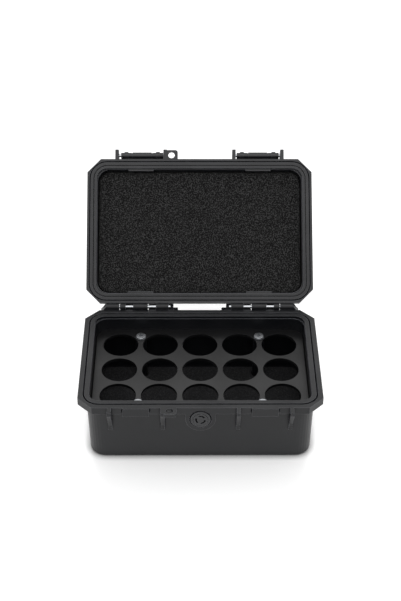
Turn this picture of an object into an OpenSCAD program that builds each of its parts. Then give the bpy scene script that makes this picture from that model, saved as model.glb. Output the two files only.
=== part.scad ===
// Small hard-shell carry case for miniatures. A deep base with an insert plate of round
// holes, and a foam-lined lid on two pinned hinges, held shut by two pivoting latches.
// Origin: middle of the face it stands on. +X right, -Y front, +Z up. Drawn with the lid open.

/* [Case] */
// Width across the rims, left to right
case_w = 225; // [200:1:290]
// Depth across the rims, front to back
case_d = 146; // [136:1:200]
// Height of the base, from its foot to its rim
base_h = 68; // [56:1:95]
// Height of the lid over its rim
lid_h = 22.4; // [20:0.2:34]
// Length cut off each rim corner
rim_cut = 13.5; // [10:0.5:16.5]
// Angle that the lid stands open at, from shut
lid_open = 135; // [90:1:135]

/* [Shell] */
// Wall thickness of both halves
wall = 2.8; // [2.2:0.1:3.6]
// Thickness of the base's floor
base_floor = 3.4; // [2:0.2:5]
// Thickness of the lid's roof
lid_roof = 2.4; // [2:0.1:4]
// Height of each rim flange
flange_h = 7.5; // [6:0.5:10]
// How far each flange stands out from the wall
flange_reach = 7.4; // [6:0.1:9]
// How far each base wall leans in from rim to foot
base_lean = 1.5; // [0.5:0.1:3]
// How far each lid wall leans in from rim to roof
lid_lean = 0.6; // [0.2:0.1:1.5]
// Radius of the upright corners
corner_r = 15; // [12:0.5:18]
// Radius around the base's foot
foot_r = 3.2; // [2:0.2:4]
// Radius around the lid's top
crown_r = 4; // [2:0.5:6]
// Radius inside the base, where wall meets floor
floor_fillet = 2; // [1.5:0.5:8]

/* [Rim] */
// Corner radius that the rim's inner lines would have at its outer edge
rim_r = 20; // [18:0.5:24]
// Flat land of the base's rim, outside its groove
base_land = 4.4; // [4:0.1:6]
// Width of the groove in the base's rim
base_groove = 1.6; // [1:0.1:2.4]
// Depth of the grooves in both rims
groove_depth = 3.8; // [0.8:0.1:4]
// Width of the base's raised lip
lip_w = 4.2; // [2.6:0.1:4.6]
// Height of the lip over the land
lip_rise = 0.2; // [0.1:0.1:1.2]
// Depth of the lip's inner face, down to the wall
lip_depth = 3; // [2:0.5:5]
// Space that the seal keeps between the shut rims
rim_gap = 0.5; // [0.3:0.1:0.8]
// Width of the lid's rim, from its edge to its opening
lid_land = 9.5; // [9:0.1:10.5]
// Width of the lid's outer skirt
skirt_w = 2.1; // [1.6:0.1:3]
// Width of the groove inside the skirt
skirt_groove = 1.3; // [0.6:0.1:1.4]
// Width of the seal
seal_w = 1.3; // [1:0.1:2]
// Depth of the seal's channel
seal_depth = 2.4; // [2:0.1:3]
// Depth of the seal's face in its channel
seal_sunk = 0.2; // [0.1:0.1:1.2]
// Clearance over the shut base lip
lip_clear = 0.15; // [0.1:0.05:0.4]

/* [Insert plate] */
// Diameter of the holes that hold the miniatures
hole_d = 34; // [26:0.5:40]
// Web left between two holes of a row
hole_web = 4.5; // [3:0.5:8]
// Web left between two rows of holes
row_web = 3.7; // [3:0.1:8]
// Least edge left outside the holes
plate_edge = 3; // [2:0.5:8]
// Thickness of the plate
plate_t = 3; // [2:0.5:4]
// Depth of the plate's top below the rim
plate_depth = 15.7; // [12:0.1:24]
// Gap between plate and wall
plate_gap = 1.2; // [0.6:0.1:2]
// Inset of the screws from the front and back edges of the plate
screw_inset = 11.6; // [9:0.1:13]

/* [Fasteners] */
// Diameter of the plate screws' shank
screw_d = 5; // [4:0.5:5]
// Diameter of the screw heads
head_d = 9.5; // [8:0.1:10]
// Height of the screw heads
head_h = 1.4; // [1:0.1:3]
// Chamfer around the top of each head
head_chamfer = 0.3; // [0.1:0.1:0.5]
// Width across the flats of the hexagon socket
socket_w = 3; // [2.5:0.5:4]
// Depth of that socket
socket_depth = 1.6; // [1:0.1:2.4]
// Diameter of the washers
washer_d = 10; // [9.6:0.1:11]
// Thickness of the washers
washer_t = 0.8; // [0.5:0.1:1.4]
// Diameter of the brass inserts
insert_d = 7; // [6.4:0.1:7.6]
// Length of the brass inserts
insert_len = 8; // [6:0.5:10]
// Diameter of the moulded posts under the plate
post_d = 11; // [10:0.1:12]
// Clearance of a screw in the plate, and of the pad around a post
fit_clear = 0.3; // [0.2:0.1:0.6]

/* [Lining] */
// Thickness of the floor pad
pad_t = 3.5; // [1.5:0.5:4]
// Depth of the foam's face below the lid's rim
foam_depth = 9; // [7:0.5:12]
// Gap between the foam and the lid's walls
foam_gap = 0.4; // [0.2:0.1:2]
// Width of the tabs that keep the foam in
tab_w = 25; // [18:1:30]
// How far those tabs stand out from the wall
tab_reach = 1.6; // [1.2:0.1:2.4]

/* [Hinges] */
// Diameter of the hinge pins
hinge_pin_d = 3; // [2.5:0.5:3.5]
// Diameter of the knuckles
knuckle_d = 6.4; // [6:0.1:7]
// Distance of the hinge axis behind the rims
hinge_back = 3.6; // [3.5:0.1:4.2]
// Height of the hinge axis over the base's rim
hinge_up = 1.5; // [1:0.1:2]
// Distance from the middle to the inner end of each hinge
hinge_start = 24; // [20:1:30]
// Width of the base's inner lug
inner_lug_w = 26.75; // [20:0.25:30]
// Width of the lid's lug
lid_lug_w = 27.5; // [20:0.25:30]
// Width of the base's outer lug
outer_lug_w = 18.25; // [12:0.25:20]
// Width of the windows where the pin shows
window_w = 7.5; // [5:0.5:9]
// Gap between neighbouring lugs
lug_gap = 0.7; // [0.6:0.1:2]
// Running clearance of the pins, on the radius
pin_clear = 0.06; // [0.03:0.01:0.1]

/* [Latches] */
// Distance from the middle of the case to the middle of each latch
latch_x = 58.8; // [50:0.5:62]
// Width of a latch
latch_w = 42.4; // [36:0.5:44]
// Distance that the left latch lies off the middle of its ears, towards the middle of the case
latch_shift = 0.9; // [0:0.1:0.9]
// Gap at each end of a latch, were it in the middle of its ears
latch_gap = 1.2; // [1:0.1:2]
// Thickness of the ears and fins beside a latch
ear_t = 3.5; // [2.4:0.1:4]
// How far the lid's ears stand out from its flange
ear_reach = 10; // [8:0.2:11]
// How far the base's fins stand out from its flange
fin_reach = 8.4; // [7:0.2:10]
// Length of the fins down from the rim
fin_len = 33; // [26:1:38]
// Distance of the latch pivot in front of the rims
pivot_out = 5.5; // [5.1:0.1:6]
// Height of the latch pivot over the base's rim
pivot_up = 9; // [8:0.5:10]
// Diameter of the latch pins
latch_pin_d = 3; // [2.5:0.5:3]
// Diameter of the latch's barrel
barrel_d = 6; // [5.4:0.1:6.4]
// Thickness of the latch's plate
latch_t = 2.6; // [2.2:0.1:2.6]
// Length of the latch below its pivot
latch_len = 36; // [30:1:42]
// Width of the catch on the base
catch_w = 24; // [18:1:30]
// How far the catch stands out from the flange
catch_reach = 1.7; // [1.4:0.1:2]
// Width of the slot at each side of the catch
catch_slot = 1.4; // [0.8:0.1:2]
// Depth of that slot into the flange
catch_slot_depth = 2.4; // [1:0.1:3]
// Height of the catch, down from the rim
catch_h = 9; // [8.5:0.5:11]
// Height of the latch's hook
hook_h = 3.2; // [2.4:0.2:4]
// Clearance between the hook and the shut catch
hook_clear = 0.35; // [0.3:0.05:0.6]

/* [Padlock eyes] */
// Width of each eye beside the left latch's inner ear
eye_w = 11.1; // [10:0.1:14]
// How far each eye stands out from the flange
eye_reach = 9.2; // [8:0.2:11]
// Thickness of each eye
eye_t = 3.3; // [2.4:0.1:4.5]
// Diameter of the padlock hole
eye_hole_d = 6.6; // [5:0.2:7]
// Distance of the hole in front of the rims
eye_hole_out = 4.1; // [3.5:0.1:4.6]
// Distance of the hole from the ear beside it
eye_hole_in = 4.7; // [4.5:0.1:5.5]

/* [Pressure valve] */
// Width of the boss that carries the valve
boss_w = 27.4; // [24:0.2:30]
// Depth of the valve's axis below the rim
valve_down = 13.8; // [13:0.1:18]
// Diameter of the valve's outer flange
valve_d = 18.2; // [16:0.2:20]
// Diameter of the valve's threaded shank
valve_shank_d = 13; // [12:0.5:14]
// Depth of the recess that the valve sits in
valve_recess = 2; // [1.6:0.1:2.6]
// Gap around the valve's flange in that recess
valve_gap = 1.1; // [0.4:0.1:1.4]
// Diameter of the valve's cap
cap_d = 13.4; // [12.6:0.2:14]
// Gap around the cap
cap_gap = 0.4; // [0.1:0.1:0.6]
// Diameter of the circle that the cap's three vent slots lie on
slot_ring_d = 8.2; // [7:0.2:8.6]
// Width of those slots
slot_w = 1.7; // [1:0.1:1.9]
// Thickness of the valve's cap
cap_t = 1.6; // [1.2:0.1:2]
// Thickness of the valve's seal
valve_seal_t = 0.8; // [0.6:0.1:1.2]
// Clearance around the valve's parts
valve_clear = 0.15; // [0.1:0.05:0.3]

/* [Hidden] */
$fn = 64;

shell_colour = "#3b3c3f";
seal_colour = "#161617";
steel_colour = "#b9bcc0";
brass_colour = "#b9964e";

eps = 0.05;            // overlap of one form with the one it grows from
front_y = -case_d / 2; // the flanges' front faces
back_y = case_d / 2;   // the flanges' back faces
lid_rim_z = base_h + rim_gap;
lip_start = base_land + base_groove;
opening_inset = lip_start + lip_w;
hinge_y = back_y + hinge_back;
hinge_z = base_h + hinge_up;
pivot_y = front_y - pivot_out;
pivot_z = base_h + pivot_up;

// Insert plate: as many holes as fit, in rows and columns
plate_top = base_h - plate_depth;
plate_bottom = plate_top - plate_t;
plate_inset = flange_reach + wall + base_lean * (base_h - plate_bottom) / base_h + plate_gap;
plate_w = case_w - 2 * plate_inset;
plate_d = case_d - 2 * plate_inset;
plate_r = corner_r - wall - plate_gap;
pitch = hole_d + hole_web;
row_pitch = hole_d + row_web;
columns = floor((plate_w - 2 * plate_edge + hole_web) / pitch);
rows = floor((plate_d - 2 * plate_edge + row_web) / row_pitch);
screw_x = (columns / 2 - 1) * pitch;
screw_y = plate_d / 2 - screw_inset;
screw_len = plate_t + washer_t + insert_len;
post_hole = insert_len + 4;

foam_z = lid_rim_z + foam_depth;
foam_t = lid_h - lid_roof - foam_depth;
foam_inset = flange_reach + wall + lid_lean + foam_gap;
lip_headroom = lip_rise - rim_gap + lip_clear; // how far the lid's inner lip stands back

hinge_len = inner_lug_w + lug_gap + lid_lug_w + lug_gap + outer_lug_w;
knuckle_r = knuckle_d / 2;
pocket_r = hinge_pin_d / 2 + 0.4;      // a pocket's wall stays this far from the axis
inner_barrel_w = inner_lug_w - window_w - 7;
ear_x = latch_w / 2 + latch_gap + ear_t / 2; // middle of an ear, from the middle of its latch
eye_x = -(latch_x - ear_x) + ear_t / 2 + eye_w / 2 - eps;
eye_hole_x = -(latch_x - ear_x) + ear_t / 2 + eye_hole_in;
hook_reach = pivot_out - 0.5;          // the hook stops this far behind the pivot
hook_top = pivot_up + catch_h + hook_clear;
rest_reach = pivot_out - barrel_d / 2 - 0.1; // the open latch's face is this far out, less 0.1

valve_z = base_h - valve_down;
shank_len = flange_reach + base_lean + wall - valve_recess - 1;
valve_head_t = valve_recess - valve_seal_t + 0.7; // the valve's flange stands 0.7 proud
membrane_t = 0.4;
membrane_d = slot_ring_d + slot_w + 0.8; // it covers the slots
cap_seat = cap_t - 0.2;                // the cap stands 0.2 proud

// A slab with upright rounded corners
module rounded(w, d, r, h) {
    linear_extrude(h) {
        square([w - 2 * r, d], center = true);
        square([w, d - 2 * r], center = true);
        for (x = [-1, 1], y = [-1, 1])
            translate([x * (w / 2 - r), y * (d / 2 - r)]) circle(r);
    }
}

// A slab in the rim's outline, its corners cut at 45 degrees
module octagon(h) {
    x = case_w / 2;
    y = case_d / 2;
    linear_extrude(h)
        polygon([for (s = [[1, 1], [-1, 1], [-1, -1], [1, -1]])
                 each s[0] * s[1] > 0
                     ? [[s[0] * x, s[1] * (y - rim_cut)], [s[0] * (x - rim_cut), s[1] * y]]
                     : [[s[0] * (x - rim_cut), s[1] * y], [s[0] * x, s[1] * (y - rim_cut)]]]);
}

// The area inside a line that runs round the rim at this distance from its edge
module rim_area(inset, h) {
    rounded(case_w - 2 * inset, case_d - 2 * inset, rim_r - inset, h);
}

module rim_ring(from, to, h) {
    difference() {
        rim_area(from, h);
        translate([0, 0, -1]) rim_area(to, h + 2);
    }
}

// A tub that stands on its foot: its walls lean in towards the foot, which is rounded
module tub(w, d, r, lean, h, edge) {
    steps = 4;
    hull()
        for (x = [-1, 1], y = [-1, 1]) {
            translate([x * (w / 2 - r), y * (d / 2 - r), h - 1]) cylinder(r = r, h = 1, $fn = 32);
            for (i = [0 : steps - 1]) {
                a = 90 * i / steps;
                b = 90 * (i + 1) / steps;
                translate([x * (w / 2 - lean - r), y * (d / 2 - lean - r), edge * (1 - cos(a))])
                    cylinder(r1 = r - edge * (1 - sin(a)), r2 = r - edge * (1 - sin(b)),
                             h = edge * (cos(a) - cos(b)), $fn = 32);
            }
        }
}

// A profile drawn as [distance in front of the rims, height over the base's rim], made a plate
module side_plate(x, t, profile) {
    translate([x + t / 2, front_y, base_h]) rotate([90, 0, -90]) linear_extrude(t) polygon(profile);
}

// A profile drawn as [distance behind the hinge axis, height over it], made a plate from x
module hinge_plate(x, t, profile) {
    translate([x, hinge_y, hinge_z]) rotate([90, 0, 90]) linear_extrude(t) polygon(profile);
}

module hinge_rod(x, t, d) {
    translate([x, hinge_y, hinge_z]) rotate([0, 90, 0]) cylinder(d = d, h = t);
}

// What follows the lid, turned from shut to open
module opened() {
    translate([0, hinge_y, hinge_z]) rotate([-lid_open, 0, 0])
        translate([0, -hinge_y, -hinge_z]) children();
}

// Both hinges, both latches: the left one is drawn, the right one mirrors it
module both_sides() {
    for (s = [0, 1]) mirror([s, 0, 0]) children();
}

// A knuckle with a square back: up = 1 joins it to what is over it, -1 to what is below
module knuckle(x, t, up) {
    back = knuckle_r + 1.4;
    hinge_rod(x, t, knuckle_d);
    hinge_plate(x, t, [[-knuckle_r, 0], [knuckle_r, 0], [knuckle_r, up * back], [-knuckle_r, up * back]]);
}

// What a lug keeps between two slanted ends: x and height over the axis, both ends of each slant
module between(left_low, left_high, right_high, right_low) {
    intersection() {
        children();
        translate([0, hinge_y + 10, hinge_z]) rotate([90, 0, 0]) linear_extrude(20)
            polygon([[left_low, -20], [left_low, -5], [left_high, knuckle_r + 0.1],
                     [right_high, knuckle_r + 0.1], [right_low, -5], [right_low, -20]]);
    }
}

// In its window a lug keeps a wall behind the pin, so the pin lies bare in a pocket
module base_lugs() {
    left = -hinge_start - inner_lug_w;
    outer = -hinge_start - hinge_len;
    shelf = [[-hinge_back - eps, -flange_h - hinge_up], [1.5, -flange_h - hinge_up + 1.5],
             [knuckle_r + 0.8, -knuckle_r - 2.4], [knuckle_r + 0.8, -knuckle_r - 0.9],
             [-hinge_back - eps, -knuckle_r - 0.9]];
    pocket = [[-knuckle_r, -knuckle_r - 1.4], [-knuckle_r, -pocket_r], [pocket_r, -pocket_r],
              [pocket_r, 2.1], [knuckle_r - 0.6, 1.8], [knuckle_r - 0.1, 1.2],
              [knuckle_r - 0.1, -knuckle_r - 1.4]];
    between(left, left, -hinge_start - 2, -hinge_start + 2.5) {
        hinge_plate(left, inner_lug_w + 3, shelf);
        hinge_plate(left, window_w, pocket);
        knuckle(left + window_w - eps, inner_barrel_w, -1);
        hinge_plate(left + window_w + inner_barrel_w - eps, 5, pocket);
    }
    between(outer, outer + 6, outer + outer_lug_w, outer + outer_lug_w) {
        hinge_plate(outer, outer_lug_w, shelf);
        knuckle(outer, outer_lug_w, -1);
    }
}

module lid_lugs() {
    x = -hinge_start - inner_lug_w - lug_gap - lid_lug_w;
    top = rim_gap + flange_h - hinge_up;
    // The heel at the back of this roof comes to rest on the base's flange when the lid is open
    hinge_plate(x, lid_lug_w, [[-hinge_back - eps, top], [3.6, top], [6.7, 3.3], [6.7, 1.7], [4.7, 1.7],
                               [4.7, 2.7], [2.9, knuckle_r + 1], [-hinge_back - eps, knuckle_r + 1]]);
    hinge_plate(x, lid_lug_w, [[-knuckle_r, pocket_r], [knuckle_r, pocket_r],
                               [knuckle_r, knuckle_r + 1.4], [-knuckle_r, knuckle_r + 1.4]]);
    knuckle(x, 5.6, 1);
    knuckle(x + 5.6 + window_w, lid_lug_w - 5.6 - window_w, 1);
}

module latch_fin(x) {
    side_plate(x, ear_t, [[-flange_reach - 2, 0], [fin_reach - 0.8, 0], [fin_reach, -0.8],
                          [fin_reach, -3], [-flange_reach + 2, -fin_len + 7],
                          [-flange_reach + 1.8, -fin_len + 1.5], [-flange_reach + 1, -fin_len + 0.4],
                          [-flange_reach - 2, -fin_len]]);
}

module latch_ear(x) {
    side_plate(x, ear_t, [[-flange_reach - 2, rim_gap], [ear_reach - 0.8, rim_gap],
                          [ear_reach, rim_gap + 0.8], [ear_reach, pivot_up + 2.5],
                          [ear_reach - 4, pivot_up + 6.5], [-flange_reach - 2, pivot_up + 11]]);
}

// The eye is bounded by two rounded corners at its front
module padlock_eye(z) {
    r = 2.5;
    translate([eye_x, front_y, z]) linear_extrude(eye_t) {
        translate([-eye_w / 2, -eye_reach]) square([eye_w - r, eye_reach + 1]);
        translate([-eye_w / 2, -eye_reach + r]) square([eye_w, eye_reach + 1 - r]);
        translate([eye_w / 2 - r, -eye_reach + r]) circle(r);
    }
}

module eye_bore(z) {
    translate([eye_hole_x, front_y - eye_hole_out, z - 1]) cylinder(d = eye_hole_d, h = eye_t + 2);
}

module valve_boss() {
    depth = flange_reach + base_lean + 1;
    translate([0, front_y + depth, valve_z]) rotate([90, 0, 0]) {
        cylinder(d = boss_w, h = depth);
        translate([-boss_w / 2, 0, 0]) cube([boss_w, valve_down - 1, depth]);
    }
}

// A cylinder on the valve's axis that starts this far in from the flange's face
module valve_rod(from, len, d) {
    translate([0, front_y + from, valve_z]) rotate([-90, 0, 0]) cylinder(d = d, h = len);
}

module base_outside() {
    tub(case_w - 2 * flange_reach, case_d - 2 * flange_reach, corner_r, base_lean, base_h - 1, foot_r);
    translate([0, 0, base_h - flange_h]) octagon(flange_h);
    translate([0, 0, base_h]) rim_area(lip_start, lip_rise);
    for (s = [-1, 1]) {
        for (e = [-1, 1]) latch_fin(s * latch_x + e * ear_x);
        side_plate(s * latch_x, catch_w, [[-flange_reach - 2, 0], [catch_reach - 0.5, 0],
                                          [catch_reach, -0.5], [catch_reach, -catch_h],
                                          [-flange_reach - 2, -catch_h]]);
    }
    padlock_eye(base_h - eye_t);
    valve_boss();
    both_sides() base_lugs();
}

module base_hollow() {
    inset = flange_reach + wall;
    translate([0, 0, base_floor])
        tub(case_w - 2 * inset, case_d - 2 * inset, corner_r - wall, base_lean, base_h, floor_fillet);
    translate([0, 0, base_h - lip_depth]) rim_area(opening_inset, lip_depth + lip_rise + 1);
    translate([0, 0, base_h - groove_depth]) rim_ring(base_land, lip_start, groove_depth + 1);
}

module base_bores() {
    for (x = [-1, 1], y = [-1, 1]) translate([x * screw_x, y * screw_y, plate_bottom]) {
        translate([0, 0, -insert_len]) cylinder(d = insert_d, h = insert_len + 1);
        translate([0, 0, -post_hole]) cylinder(d = screw_d + 0.8, h = post_hole);
    }
    eye_bore(base_h - eye_t);
    for (s = [-1, 1], e = [-1, 1])
        side_plate(s * latch_x + e * (catch_w / 2 + catch_slot / 2), catch_slot,
                   [[-catch_slot_depth, -1.2], [1, -1.2], [1, -catch_h], [-catch_slot_depth, -catch_h]]);
    valve_rod(-1, valve_recess + 1, valve_d + 2 * valve_gap);
    valve_rod(0, flange_reach + wall + base_lean + 3, valve_shank_d);
    both_sides() hinge_rod(-hinge_start - hinge_len - 1, hinge_len + 2, hinge_pin_d);
}

module base_shell() {
    color(shell_colour) difference() {
        union() {
            difference() {
                base_outside();
                base_hollow();
            }
            for (x = [-1, 1], y = [-1, 1])
                translate([x * screw_x, y * screw_y, base_floor - eps])
                    cylinder(d = post_d, h = plate_bottom - base_floor + eps);
        }
        base_bores();
    }
}

module floor_pad() {
    inset = flange_reach + wall + base_lean + floor_fillet;
    color("#232325") translate([0, 0, base_floor]) difference() {
        rounded(case_w - 2 * inset, case_d - 2 * inset, corner_r - wall - floor_fillet, pad_t);
        for (x = [-1, 1], y = [-1, 1])
            translate([x * screw_x, y * screw_y, -1]) cylinder(d = post_d + 2 * fit_clear, h = pad_t + 2);
    }
}

module insert_plate() {
    color("#424346") translate([0, 0, plate_bottom]) difference() {
        rounded(plate_w, plate_d, plate_r, plate_t);
        for (i = [0 : columns - 1], j = [0 : rows - 1])
            translate([(i - (columns - 1) / 2) * pitch, (j - (rows - 1) / 2) * row_pitch, -1])
                cylinder(d = hole_d, h = plate_t + 2, $fn = 96);
        for (x = [-1, 1], y = [-1, 1])
            translate([x * screw_x, y * screw_y, -1]) cylinder(d = screw_d + 2 * fit_clear, h = plate_t + 2);
    }
}

// Thin flat-head screw, standing on the underside of its head
module plate_screw() {
    flat = head_h - head_chamfer;
    difference() {
        union() {
            cylinder(d = head_d, h = flat);
            translate([0, 0, flat])
                cylinder(d1 = head_d, d2 = head_d - 2 * head_chamfer, h = head_chamfer);
            translate([0, 0, -screw_len]) cylinder(d = screw_d, h = screw_len + 0.1);
        }
        translate([0, 0, head_h - socket_depth]) cylinder(d = socket_w / cos(30), h = 3, $fn = 6);
    }
}

module plate_screws() {
    color(steel_colour) for (x = [-1, 1], y = [-1, 1])
        translate([x * screw_x, y * screw_y, plate_top + washer_t]) plate_screw();
}

module ring(outer, inner, h) {
    difference() {
        cylinder(d = outer, h = h);
        translate([0, 0, -1]) cylinder(d = inner, h = h + 2);
    }
}

module plate_washers() {
    color(steel_colour) for (x = [-1, 1], y = [-1, 1])
        translate([x * screw_x, y * screw_y, plate_top]) ring(washer_d, screw_d + 2 * fit_clear, washer_t);
}

module threaded_inserts() {
    color(brass_colour) for (x = [-1, 1], y = [-1, 1])
        translate([x * screw_x, y * screw_y, plate_bottom - insert_len]) ring(insert_d, screw_d, insert_len);
}

module valve_body() {
    color(shell_colour) difference() {
        union() {
            valve_rod(valve_recess - valve_seal_t - valve_head_t, valve_head_t, valve_d);
            valve_rod(valve_recess - valve_seal_t - eps, shank_len + eps, valve_shank_d);
        }
        valve_rod(valve_recess - valve_seal_t - valve_head_t - 1, cap_seat + 1, cap_d + 2 * cap_gap);
        valve_rod(0, cap_seat - 0.7 + membrane_t + 0.1, membrane_d + 2 * cap_gap - 0.6);
        valve_rod(0, shank_len + 5, membrane_d - 2);
    }
}

// The cap's three vent slots are arcs between its rim and its middle
module valve_cap() {
    color(shell_colour) difference() {
        valve_rod(-0.7 - 0.2, cap_t, cap_d);
        translate([0, front_y, valve_z]) rotate([90, 0, 0]) for (a = [30, 150, 270])
            rotate([0, 0, a]) translate([0, 0, -3]) rotate_extrude(angle = 86)
                translate([(slot_ring_d - slot_w) / 2, 0]) square([slot_w, 6]);
    }
}

module valve_membrane() {
    color(seal_colour) valve_rod(cap_seat - 0.7 + 0.05, membrane_t, membrane_d);
}

module valve_seal() {
    color(seal_colour) difference() {
        valve_rod(valve_recess - valve_seal_t, valve_seal_t, valve_d - 1);
        valve_rod(valve_recess - 2 * valve_seal_t, 3 * valve_seal_t, valve_shank_d + 2 * valve_clear);
    }
}

module hinge_pin() {
    start = -hinge_start - hinge_len + 6;
    color(steel_colour) hinge_rod(start, -hinge_start - 5 - start, hinge_pin_d);
}

module hinge_pin_left() {
    hinge_pin();
}

module hinge_pin_right() {
    mirror([1, 0, 0]) hinge_pin();
}

module lid_outside() {
    translate([0, 0, lid_rim_z + lid_h]) mirror([0, 0, 1])
        tub(case_w - 2 * flange_reach, case_d - 2 * flange_reach, corner_r, lid_lean, lid_h - 1, crown_r);
    translate([0, 0, lid_rim_z]) octagon(flange_h);
    for (s = [-1, 1]) {
        for (e = [-1, 1]) latch_ear(s * latch_x + e * ear_x);
        // The open latch lies on this rib between its two ears
        side_plate(s * latch_x, 2 * ear_x, [[-flange_reach - 2, pivot_up + 7], [rest_reach, pivot_up + 7],
                                            [rest_reach, pivot_up + 9], [-flange_reach - 2, pivot_up + 9]]);
    }
    padlock_eye(lid_rim_z);
    both_sides() lid_lugs();
}

module lid_hollow() {
    inset = flange_reach + wall;
    translate([0, 0, lid_rim_z + lid_h - lid_roof]) mirror([0, 0, 1])
        tub(case_w - 2 * inset, case_d - 2 * inset, corner_r - wall, lid_lean, lid_h, 0.2);
    translate([0, 0, lid_rim_z - 1]) {
        rim_area(lid_land, lip_depth + 1);
        rim_area(lip_start, lip_headroom + 1);
        rim_ring(lip_start, lip_start + seal_w, seal_depth + 1);
        rim_ring(skirt_w, skirt_w + skirt_groove, groove_depth + 1);
    }
}

module foam_tabs() {
    y = case_d / 2 - flange_reach - wall - tab_reach;
    for (s = [-1, 1], e = [-1, 1])
        translate([s * latch_x - tab_w / 2, e > 0 ? y : -y - tab_reach - 1, lid_rim_z + lip_depth - 1])
            cube([tab_w, tab_reach + 1, foam_depth - lip_depth]);
}

module lid_shell() {
    color(shell_colour) opened() difference() {
        union() {
            difference() {
                lid_outside();
                lid_hollow();
            }
            foam_tabs();
        }
        eye_bore(lid_rim_z);
        both_sides() hinge_rod(-hinge_start - hinge_len - 1, hinge_len + 2, hinge_pin_d + 2 * pin_clear);
        for (s = [-1, 1]) latch_rod(s, 2 * ear_x + ear_t - 2, latch_pin_d);
    }
}

module lid_gasket() {
    color(seal_colour) opened() translate([0, 0, lid_rim_z + seal_sunk])
        rim_ring(lip_start, lip_start + seal_w, seal_depth - seal_sunk);
}

module lid_foam() {
    foam_r = corner_r - wall - foam_gap - lid_lean;
    color("#1b1b1c") opened() translate([0, 0, foam_z])
        rounded(case_w - 2 * foam_inset, case_d - 2 * foam_inset, foam_r, foam_t);
}

// A cylinder on the pivot of the latch on this side, centred on its ears or this far from there
module latch_rod(side, len, d, off = 0) {
    translate([side * latch_x - len / 2 + off, pivot_y, pivot_z]) rotate([0, 90, 0])
        cylinder(d = d, h = len);
}

// A latch, drawn shut: a barrel in three lengths with two bumps, plate, hook and finger grip
module latch_shut(side) {
    out = barrel_d / 2;
    off = side < 0 ? latch_shift : 0;
    end_w = latch_w / 4;
    middle_w = latch_w * 0.45;
    difference() {
        union() {
            latch_rod(side, latch_w, barrel_d - 0.8, off);
            latch_rod(side, middle_w, barrel_d + 0.6, off);
            for (e = [-1, 1]) {
                latch_rod(side, end_w, barrel_d, off + e * (latch_w - end_w) / 2);
                latch_rod(side, 3.6, barrel_d + 1.8, off + e * latch_w * 0.375);
            }
            side_plate(side * latch_x + off, latch_w, [
                for (p = [[out - latch_t, 0], [out - 0.4, 0], [out, -3], [out, -latch_len + 8],
                          [out + 2.2, -latch_len], [out - 0.6, -latch_len],
                          [out - latch_t, -latch_len + 7]])
                [pivot_out + p[0], pivot_up + p[1]]]);
            side_plate(side * latch_x + off, catch_w - 2, [
                for (p = [[out - latch_t + eps, 0], [out - latch_t + eps, -hook_h],
                          [-hook_reach + 1, -hook_h], [-hook_reach, -hook_h + 1], [-hook_reach, 0]])
                [pivot_out + p[0], pivot_up - hook_top + p[1]]]);
        }
        latch_rod(side, latch_w + 6, latch_pin_d + 2 * pin_clear);
    }
}

module latch(side) {
    color(shell_colour) opened() translate([0, pivot_y, pivot_z]) rotate([180, 0, 0])
        translate([0, -pivot_y, -pivot_z]) latch_shut(side);
}

module latch_left() {
    latch(-1);
}

module latch_right() {
    latch(1);
}

module latch_pin_left() {
    color(steel_colour) opened() latch_rod(-1, 2 * ear_x + ear_t - 2, latch_pin_d);
}

module latch_pin_right() {
    color(steel_colour) opened() latch_rod(1, 2 * ear_x + ear_t - 2, latch_pin_d);
}

base_shell();
floor_pad();
insert_plate();
plate_screws();
plate_washers();
threaded_inserts();
valve_body();
valve_cap();
valve_membrane();
valve_seal();
hinge_pin_left();
hinge_pin_right();
lid_shell();
lid_gasket();
lid_foam();
latch_left();
latch_right();
latch_pin_left();
latch_pin_right();
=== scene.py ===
import math

import bmesh
import bpy
from mathutils import Matrix, Vector


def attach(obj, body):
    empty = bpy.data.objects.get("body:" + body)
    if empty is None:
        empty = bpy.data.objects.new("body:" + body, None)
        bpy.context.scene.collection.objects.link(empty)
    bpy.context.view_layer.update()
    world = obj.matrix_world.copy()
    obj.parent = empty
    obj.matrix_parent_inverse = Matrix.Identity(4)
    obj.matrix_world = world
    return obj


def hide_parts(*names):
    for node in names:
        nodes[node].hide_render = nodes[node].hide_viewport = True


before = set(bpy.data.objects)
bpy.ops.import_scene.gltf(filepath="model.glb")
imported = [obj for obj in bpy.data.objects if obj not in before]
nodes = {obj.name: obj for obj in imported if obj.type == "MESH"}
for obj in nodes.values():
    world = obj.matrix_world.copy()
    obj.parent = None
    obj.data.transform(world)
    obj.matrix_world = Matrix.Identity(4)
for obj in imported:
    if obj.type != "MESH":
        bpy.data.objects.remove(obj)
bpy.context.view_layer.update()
scene = bpy.context.scene
mm = 0.001


# Camera: in front of the case and above it, looking down 37 degrees at its back rim.
elevation = math.radians(36.95)
yaw = math.radians(-0.44)
roll = math.radians(0.22)
distance = 1385.7
focal_length = 83.17
nearest = 0.05
target = Vector((0.8, 88.66, 68.0)) * mm
back = Vector(
    (
        math.sin(yaw) * math.cos(elevation),
        -math.cos(yaw) * math.cos(elevation),
        math.sin(elevation),
    )
)
right = Vector((math.cos(yaw), math.sin(yaw), 0))
up = back.cross(right)
level = Matrix((right, up, back)).transposed()
turned = level @ Matrix.Rotation(roll, 3, "Z")
camera = bpy.data.objects.new("camera", bpy.data.cameras.new("camera"))
camera.data.lens = focal_length
camera.data.clip_start = nearest
camera.matrix_world = Matrix.Translation(target + back * distance * mm) @ turned.to_4x4()
scene.collection.objects.link(camera)
scene.camera = camera


# Studio: a white room and floor, so the dark plastic shows mostly what it mirrors, with one
# softbox overhead, a little to the front, and a weaker one behind. A painted shadow darkens the
# floor's colour and faint glow close to the foot of the case.
def linear(code):
    parts = [int(code[i : i + 2], 16) / 255 for i in (1, 3, 5)]
    return (*[c / 12.92 if c < 0.04045 else ((c + 0.055) / 1.055) ** 2.4 for c in parts], 1.0)


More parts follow.
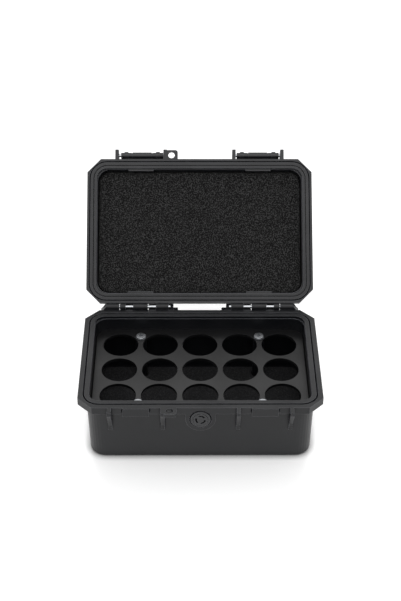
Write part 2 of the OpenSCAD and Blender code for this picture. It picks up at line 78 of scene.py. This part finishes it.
def new_material(name):
    made = bpy.data.materials.new(name)
    made.use_nodes = True
    made.node_tree.nodes.clear()
    return made


def add(made, kind, settings=None, links=None):
    node = made.node_tree.nodes.new(kind)
    for name, value in (settings or {}).items():
        if name in node.inputs:
            node.inputs[name].default_value = value
        else:
            setattr(node, name, value)
    for name, source in (links or {}).items():
        made.node_tree.links.new(source, node.inputs[name])
    return node


def finish_material(made, shader, **outputs):
    add(made, "ShaderNodeOutputMaterial", links={"Surface": shader, **outputs})
    return made


scene.view_settings.view_transform = "Standard"
world = bpy.data.worlds.new("studio")
world.use_nodes = True
room = world.node_tree.nodes["Background"]
room.inputs["Color"].default_value = linear("#ffffff")
room.inputs["Strength"].default_value = 1.0
scene.world = world

floor_half = 6
shadow_reach = 7
sweep = bmesh.new()
bmesh.ops.create_grid(sweep, x_segments=1, y_segments=1, size=floor_half)
sweep_mesh = bpy.data.meshes.new("floor")
sweep.to_mesh(sweep_mesh)
floor = bpy.data.objects.new("floor", sweep_mesh)
scene.collection.objects.link(floor)
white = new_material("white_sweep")
# Painted shadow: ambient occlusion darkens the floor's colour and glow near the case.
painted_contact_shadow = add(white, "ShaderNodeAmbientOcclusion", {"samples": 16, "Distance": shadow_reach * mm})
white_paint = add(
    white,
    "ShaderNodeBsdfPrincipled",
    {
        "Metallic": 0.2,
        "Roughness": 0.3,
        "Emission Strength": 0.15,
    },
    {"Base Color": painted_contact_shadow.outputs["Color"], "Emission Color": painted_contact_shadow.outputs["Color"]},
)
floor.data.materials.append(finish_material(white, white_paint.outputs[0]))

lamp_target = Vector((0, 0.05, 0.07))
for name, place, size_x, size_y, power in (
    ("softbox_overhead", (0.0, -0.5, 1.35), 1.3, 0.8, 7.0),
    ("softbox_behind", (0.0, 1.25, 1.15), 1.6, 0.6, 3.0),
):
    lamp = bpy.data.lights.new(name, "AREA")
    lamp.shape = "RECTANGLE"
    lamp.size = size_x
    lamp.size_y = size_y
    lamp.energy = power
    box = bpy.data.objects.new(name, lamp)
    box.location = place
    aim = lamp_target - Vector(place)
    box.rotation_euler = aim.to_track_quat("-Z", "Y").to_euler()
    scene.collection.objects.link(box)


# Shell: both halves are glass-filled polypropylene, injection-moulded in a mould with an eroded
# finish, which gives a fine, even grain and a soft satin sheen. Moulded edges are never sharp,
# and a painted highlight makes them a little lighter, while grooves and corners stay dull. The
# grain is drawn coarser than the real one, which is too fine to show. Lengths are in millimetres.
cloud_width = 45
groove_reach = 4


def moulded(name, colour, edge_highlight_colour, grain, depth, roughness, edge, shine):
    made = new_material(name)
    place = add(made, "ShaderNodeTexCoord").outputs["Object"]
    soft_edge = add(made, "ShaderNodeBevel", {"samples": 8, "Radius": edge * mm})
    flat = add(made, "ShaderNodeNewGeometry").outputs["Normal"]
    turn = add(made, "ShaderNodeVectorMath", {"operation": "DOT_PRODUCT"})
    made.node_tree.links.new(soft_edge.outputs["Normal"], turn.inputs[0])
    made.node_tree.links.new(flat, turn.inputs[1])
    # Painted highlight: a mask along edges, where the rounded shading normal turns from the flat
    # one.
    painted_edge_highlight = add(
        made,
        "ShaderNodeMapRange",
        {"From Min": 0.99, "From Max": 0.86, "To Min": 0.0, "To Max": 1.0},
        {"Value": turn.outputs["Value"]},
    )
    fine = add(
        made,
        "ShaderNodeTexNoise",
        {"Scale": 1 / (grain * mm), "Detail": 3.0},
        {"Vector": place},
    )
    cloud = add(
        made,
        "ShaderNodeTexNoise",
        {"Scale": 1 / (cloud_width * mm), "Detail": 2.0},
        {"Vector": place},
    )
    gloss = add(
        made,
        "ShaderNodeMapRange",
        {"From Min": 0.3, "From Max": 0.7, "To Min": roughness - 0.05, "To Max": roughness + 0.05},
        {"Value": cloud.outputs["Fac"]},
    )
    hidden = add(made, "ShaderNodeAmbientOcclusion", {"samples": 8, "Distance": groove_reach * mm})
    dull = add(
        made,
        "ShaderNodeMapRange",
        {"From Min": 0.75, "From Max": 0.3, "To Min": 0.0, "To Max": 0.6},
        {"Value": hidden.outputs["AO"]},
    )
    rough = add(made, "ShaderNodeMath", {"operation": "ADD"})
    made.node_tree.links.new(gloss.outputs["Result"], rough.inputs[0])
    made.node_tree.links.new(dull.outputs["Result"], rough.inputs[1])
    shade = add(
        made,
        "ShaderNodeMapRange",
        {"From Min": 0.3, "From Max": 0.7, "To Min": 0.9, "To Max": 1.1},
        {"Value": fine.outputs["Fac"]},
    )
    # The painted highlight mixes the body colour towards the lighter edge colour along edges.
    edge_highlight_mix = add(made, "ShaderNodeMix", {"data_type": "RGBA"}, {"Factor": painted_edge_highlight.outputs["Result"]})
    edge_highlight_mix.inputs[6].default_value = linear(colour)
    edge_highlight_mix.inputs[7].default_value = linear(edge_highlight_colour)
    tint = add(
        made,
        "ShaderNodeMix",
        {"data_type": "RGBA", "blend_type": "MULTIPLY", "Factor": 1.0},
    )
    made.node_tree.links.new(edge_highlight_mix.outputs[2], tint.inputs[6])
    made.node_tree.links.new(shade.outputs["Result"], tint.inputs[7])
    relief = add(
        made,
        "ShaderNodeBump",
        {"Strength": 0.5, "Distance": depth * mm},
        {"Height": fine.outputs["Fac"], "Normal": soft_edge.outputs["Normal"]},
    )
    plastic = add(
        made,
        "ShaderNodeBsdfPrincipled",
        {"IOR": 1.49, "Specular IOR Level": shine},
        {
            "Base Color": tint.outputs[2],
            "Roughness": rough.outputs[0],
            "Normal": relief.outputs["Normal"],
        },
    )
    return finish_material(made, plastic.outputs[0])


def coat(made, *names):
    for name in names:
        nodes[name].data.materials.clear()
        nodes[name].data.materials.append(made)


shell_plastic = moulded(
    "eroded_polypropylene",
    colour="#0b0c0f",
    edge_highlight_colour="#77787e",
    grain=0.7,
    depth=0.05,
    roughness=0.38,
    edge=0.25,
    shine=0.34,
)
coat(shell_plastic, "base_shell", "lid_shell")


# Insert plate: matte ABS sheet, routed, so its hole edges are crisp; a painted highlight makes
# them a little lighter. Four screws hold it down on posts.
plate_plastic = moulded(
    "matte_abs_sheet",
    colour="#0b0b0c",
    edge_highlight_colour="#2c2d30",
    grain=0.5,
    depth=0.03,
    roughness=0.36,
    edge=0.12,
    shine=0.36,
)
coat(plate_plastic, "insert_plate")


# Latches and valve: satin glass-filled nylon, moulded, a little glossier than the shell. The
# latches turn on pins in the lid's ears, and the valve sits in a bore in the front wall.
trim_plastic = moulded(
    "satin_nylon",
    colour="#101114",
    # Painted highlight: this lighter colour is mixed in along the edges.
    edge_highlight_colour="#606166",
    grain=0.5,
    depth=0.02,
    roughness=0.35,
    edge=0.25,
    shine=0.5,
)
coat(trim_plastic, "latch_left", "latch_right", "valve_body", "valve_cap")


# Seals: black EPDM rubber, moulded, near black and dull, laid in the lid's groove and under the
# valve's flange. The valve's membrane is black sintered PTFE.
seal_rubber = moulded(
    "moulded_epdm",
    colour="#040404",
    # Painted highlight: this slightly lighter colour is mixed in along the edges.
    edge_highlight_colour="#080808",
    grain=0.6,
    depth=0.02,
    roughness=0.6,
    edge=0.15,
    shine=0.2,
)
coat(seal_rubber, "lid_gasket", "valve_seal")
membrane_ptfe = moulded(
    "black_sintered_ptfe",
    colour="#040404",
    # Painted highlight: this slightly lighter colour is mixed in along the edges.
    edge_highlight_colour="#060606",
    grain=0.3,
    depth=0.01,
    roughness=0.7,
    edge=0.1,
    shine=0.2,
)
coat(membrane_ptfe, "valve_membrane")


# Pins: polished stainless steel. Screws and washers: zinc-plated steel, a little duller. The
# inserts in the posts are turned brass. All show turning marks, drawn coarse enough to show.
turned_edge = 0.2
turning_mark = 0.4


def metal(name, colour, roughness):
    made = new_material(name)
    place = add(made, "ShaderNodeTexCoord").outputs["Object"]
    soft_edge = add(made, "ShaderNodeBevel", {"samples": 8, "Radius": turned_edge * mm})
    marks = add(
        made,
        "ShaderNodeTexNoise",
        {"Scale": 1 / (turning_mark * mm), "Detail": 2.0},
        {"Vector": place},
    )
    gloss = add(
        made,
        "ShaderNodeMapRange",
        {"From Min": 0.3, "From Max": 0.7, "To Min": roughness * 0.8, "To Max": roughness * 1.25},
        {"Value": marks.outputs["Fac"]},
    )
    steel = add(
        made,
        "ShaderNodeBsdfPrincipled",
        {"Base Color": linear(colour), "Metallic": 1.0},
        {"Roughness": gloss.outputs["Result"], "Normal": soft_edge.outputs["Normal"]},
    )
    return finish_material(made, steel.outputs[0])


polished_steel = metal("polished_stainless", "#b4b6b9", 0.2)
coat(polished_steel, "hinge_pin_left", "hinge_pin_right", "latch_pin_left", "latch_pin_right")
zinc_plate = metal("zinc_plated_steel", "#8f9194", 0.3)
coat(zinc_plate, "plate_screws", "plate_washers")
turned_brass = metal("turned_brass", "#c8a45a", 0.3)
coat(turned_brass, "threaded_inserts")


# Lid foam: charcoal open-cell polyurethane, cut as a slab and pressed into the lid, with its
# pores open on every face. They are drawn coarser than the real ones, which are too fine to
# show.
def foam(name, colour, wall_colour, pore, depth):
    made = new_material(name)
    place = add(made, "ShaderNodeTexCoord").outputs["Object"]
    cells = add(made, "ShaderNodeTexVoronoi", {"Scale": 1 / (pore * mm)}, {"Vector": place})
    specks = add(
        made,
        "ShaderNodeTexNoise",
        {"Scale": 1 / (pore * 0.8 * mm), "Detail": 2.0},
        {"Vector": place},
    )
    both = add(made, "ShaderNodeMath", {"operation": "MULTIPLY"})
    made.node_tree.links.new(cells.outputs["Distance"], both.inputs[0])
    made.node_tree.links.new(specks.outputs["Fac"], both.inputs[1])
    walls = add(
        made,
        "ShaderNodeMapRange",
        {"From Min": 0.2, "From Max": 0.4, "To Min": 0.0, "To Max": 1.0},
        {"Value": both.outputs[0]},
    )
    tint = add(made, "ShaderNodeMix", {"data_type": "RGBA"}, {"Factor": walls.outputs["Result"]})
    tint.inputs[6].default_value = linear(colour)
    tint.inputs[7].default_value = linear(wall_colour)
    relief = add(
        made,
        "ShaderNodeBump",
        {"Strength": 0.8, "Distance": depth * mm},
        {"Height": both.outputs[0]},
    )
    soft = add(
        made,
        "ShaderNodeBsdfPrincipled",
        {"Roughness": 0.9, "Specular IOR Level": 0.1},
        {"Base Color": tint.outputs[2], "Normal": relief.outputs["Normal"]},
    )
    return finish_material(made, soft.outputs[0])


def soft_copy(node, name, voxel, grain, height):
    piece = bpy.data.objects.new(name, nodes[node].data.copy())
    scene.collection.objects.link(piece)
    work = bmesh.new()
    work.from_mesh(piece.data)
    bmesh.ops.remove_doubles(work, verts=work.verts, dist=0.001 * mm)
    work.to_mesh(piece.data)
    work.free()
    piece.data.materials.clear()
    remesh = piece.modifiers.new("remesh", "REMESH")
    remesh.mode = "VOXEL"
    remesh.voxel_size = voxel * mm
    smooth = piece.modifiers.new("smooth", "SMOOTH")
    smooth.iterations = 2
    pores = bpy.data.textures.new(name + "_pores", "CLOUDS")
    pores.noise_scale = grain * mm
    push = piece.modifiers.new("pores", "DISPLACE")
    push.texture = pores
    push.strength = height * mm
    push.mid_level = 0.75
    bpy.context.view_layer.update()
    finished = piece.evaluated_get(bpy.context.evaluated_depsgraph_get())
    shaped = bpy.data.meshes.new_from_object(finished)
    piece.modifiers.clear()
    piece.data = shaped
    for face in shaped.polygons:
        face.use_smooth = True
    return piece


open_cell_foam = foam(
    "open_cell_foam",
    colour="#020202",
    wall_colour="#363636",
    pore=1.0,
    depth=0.5,
)
lid_foam = soft_copy("lid_foam", "lid_foam_slab", voxel=1.2, grain=2.2, height=0.5)
lid_foam.data.materials.append(open_cell_foam)
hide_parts("lid_foam")
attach(lid_foam, "lid")


# Floor pad: thin foamed rubber sheet, black and even, cut to the floor of the base with round
# holes for the posts, and laid in loose under the plate.
foamed_rubber = foam(
    "foamed_rubber_sheet",
    colour="#1c1c1d",
    wall_colour="#2e2e2f",
    pore=1.0,
    depth=0.15,
)
floor_pad = soft_copy("floor_pad", "floor_pad_sheet", voxel=1.0, grain=3.0, height=0.3)
floor_pad.data.materials.append(foamed_rubber)
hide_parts("floor_pad")
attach(floor_pad, "base")
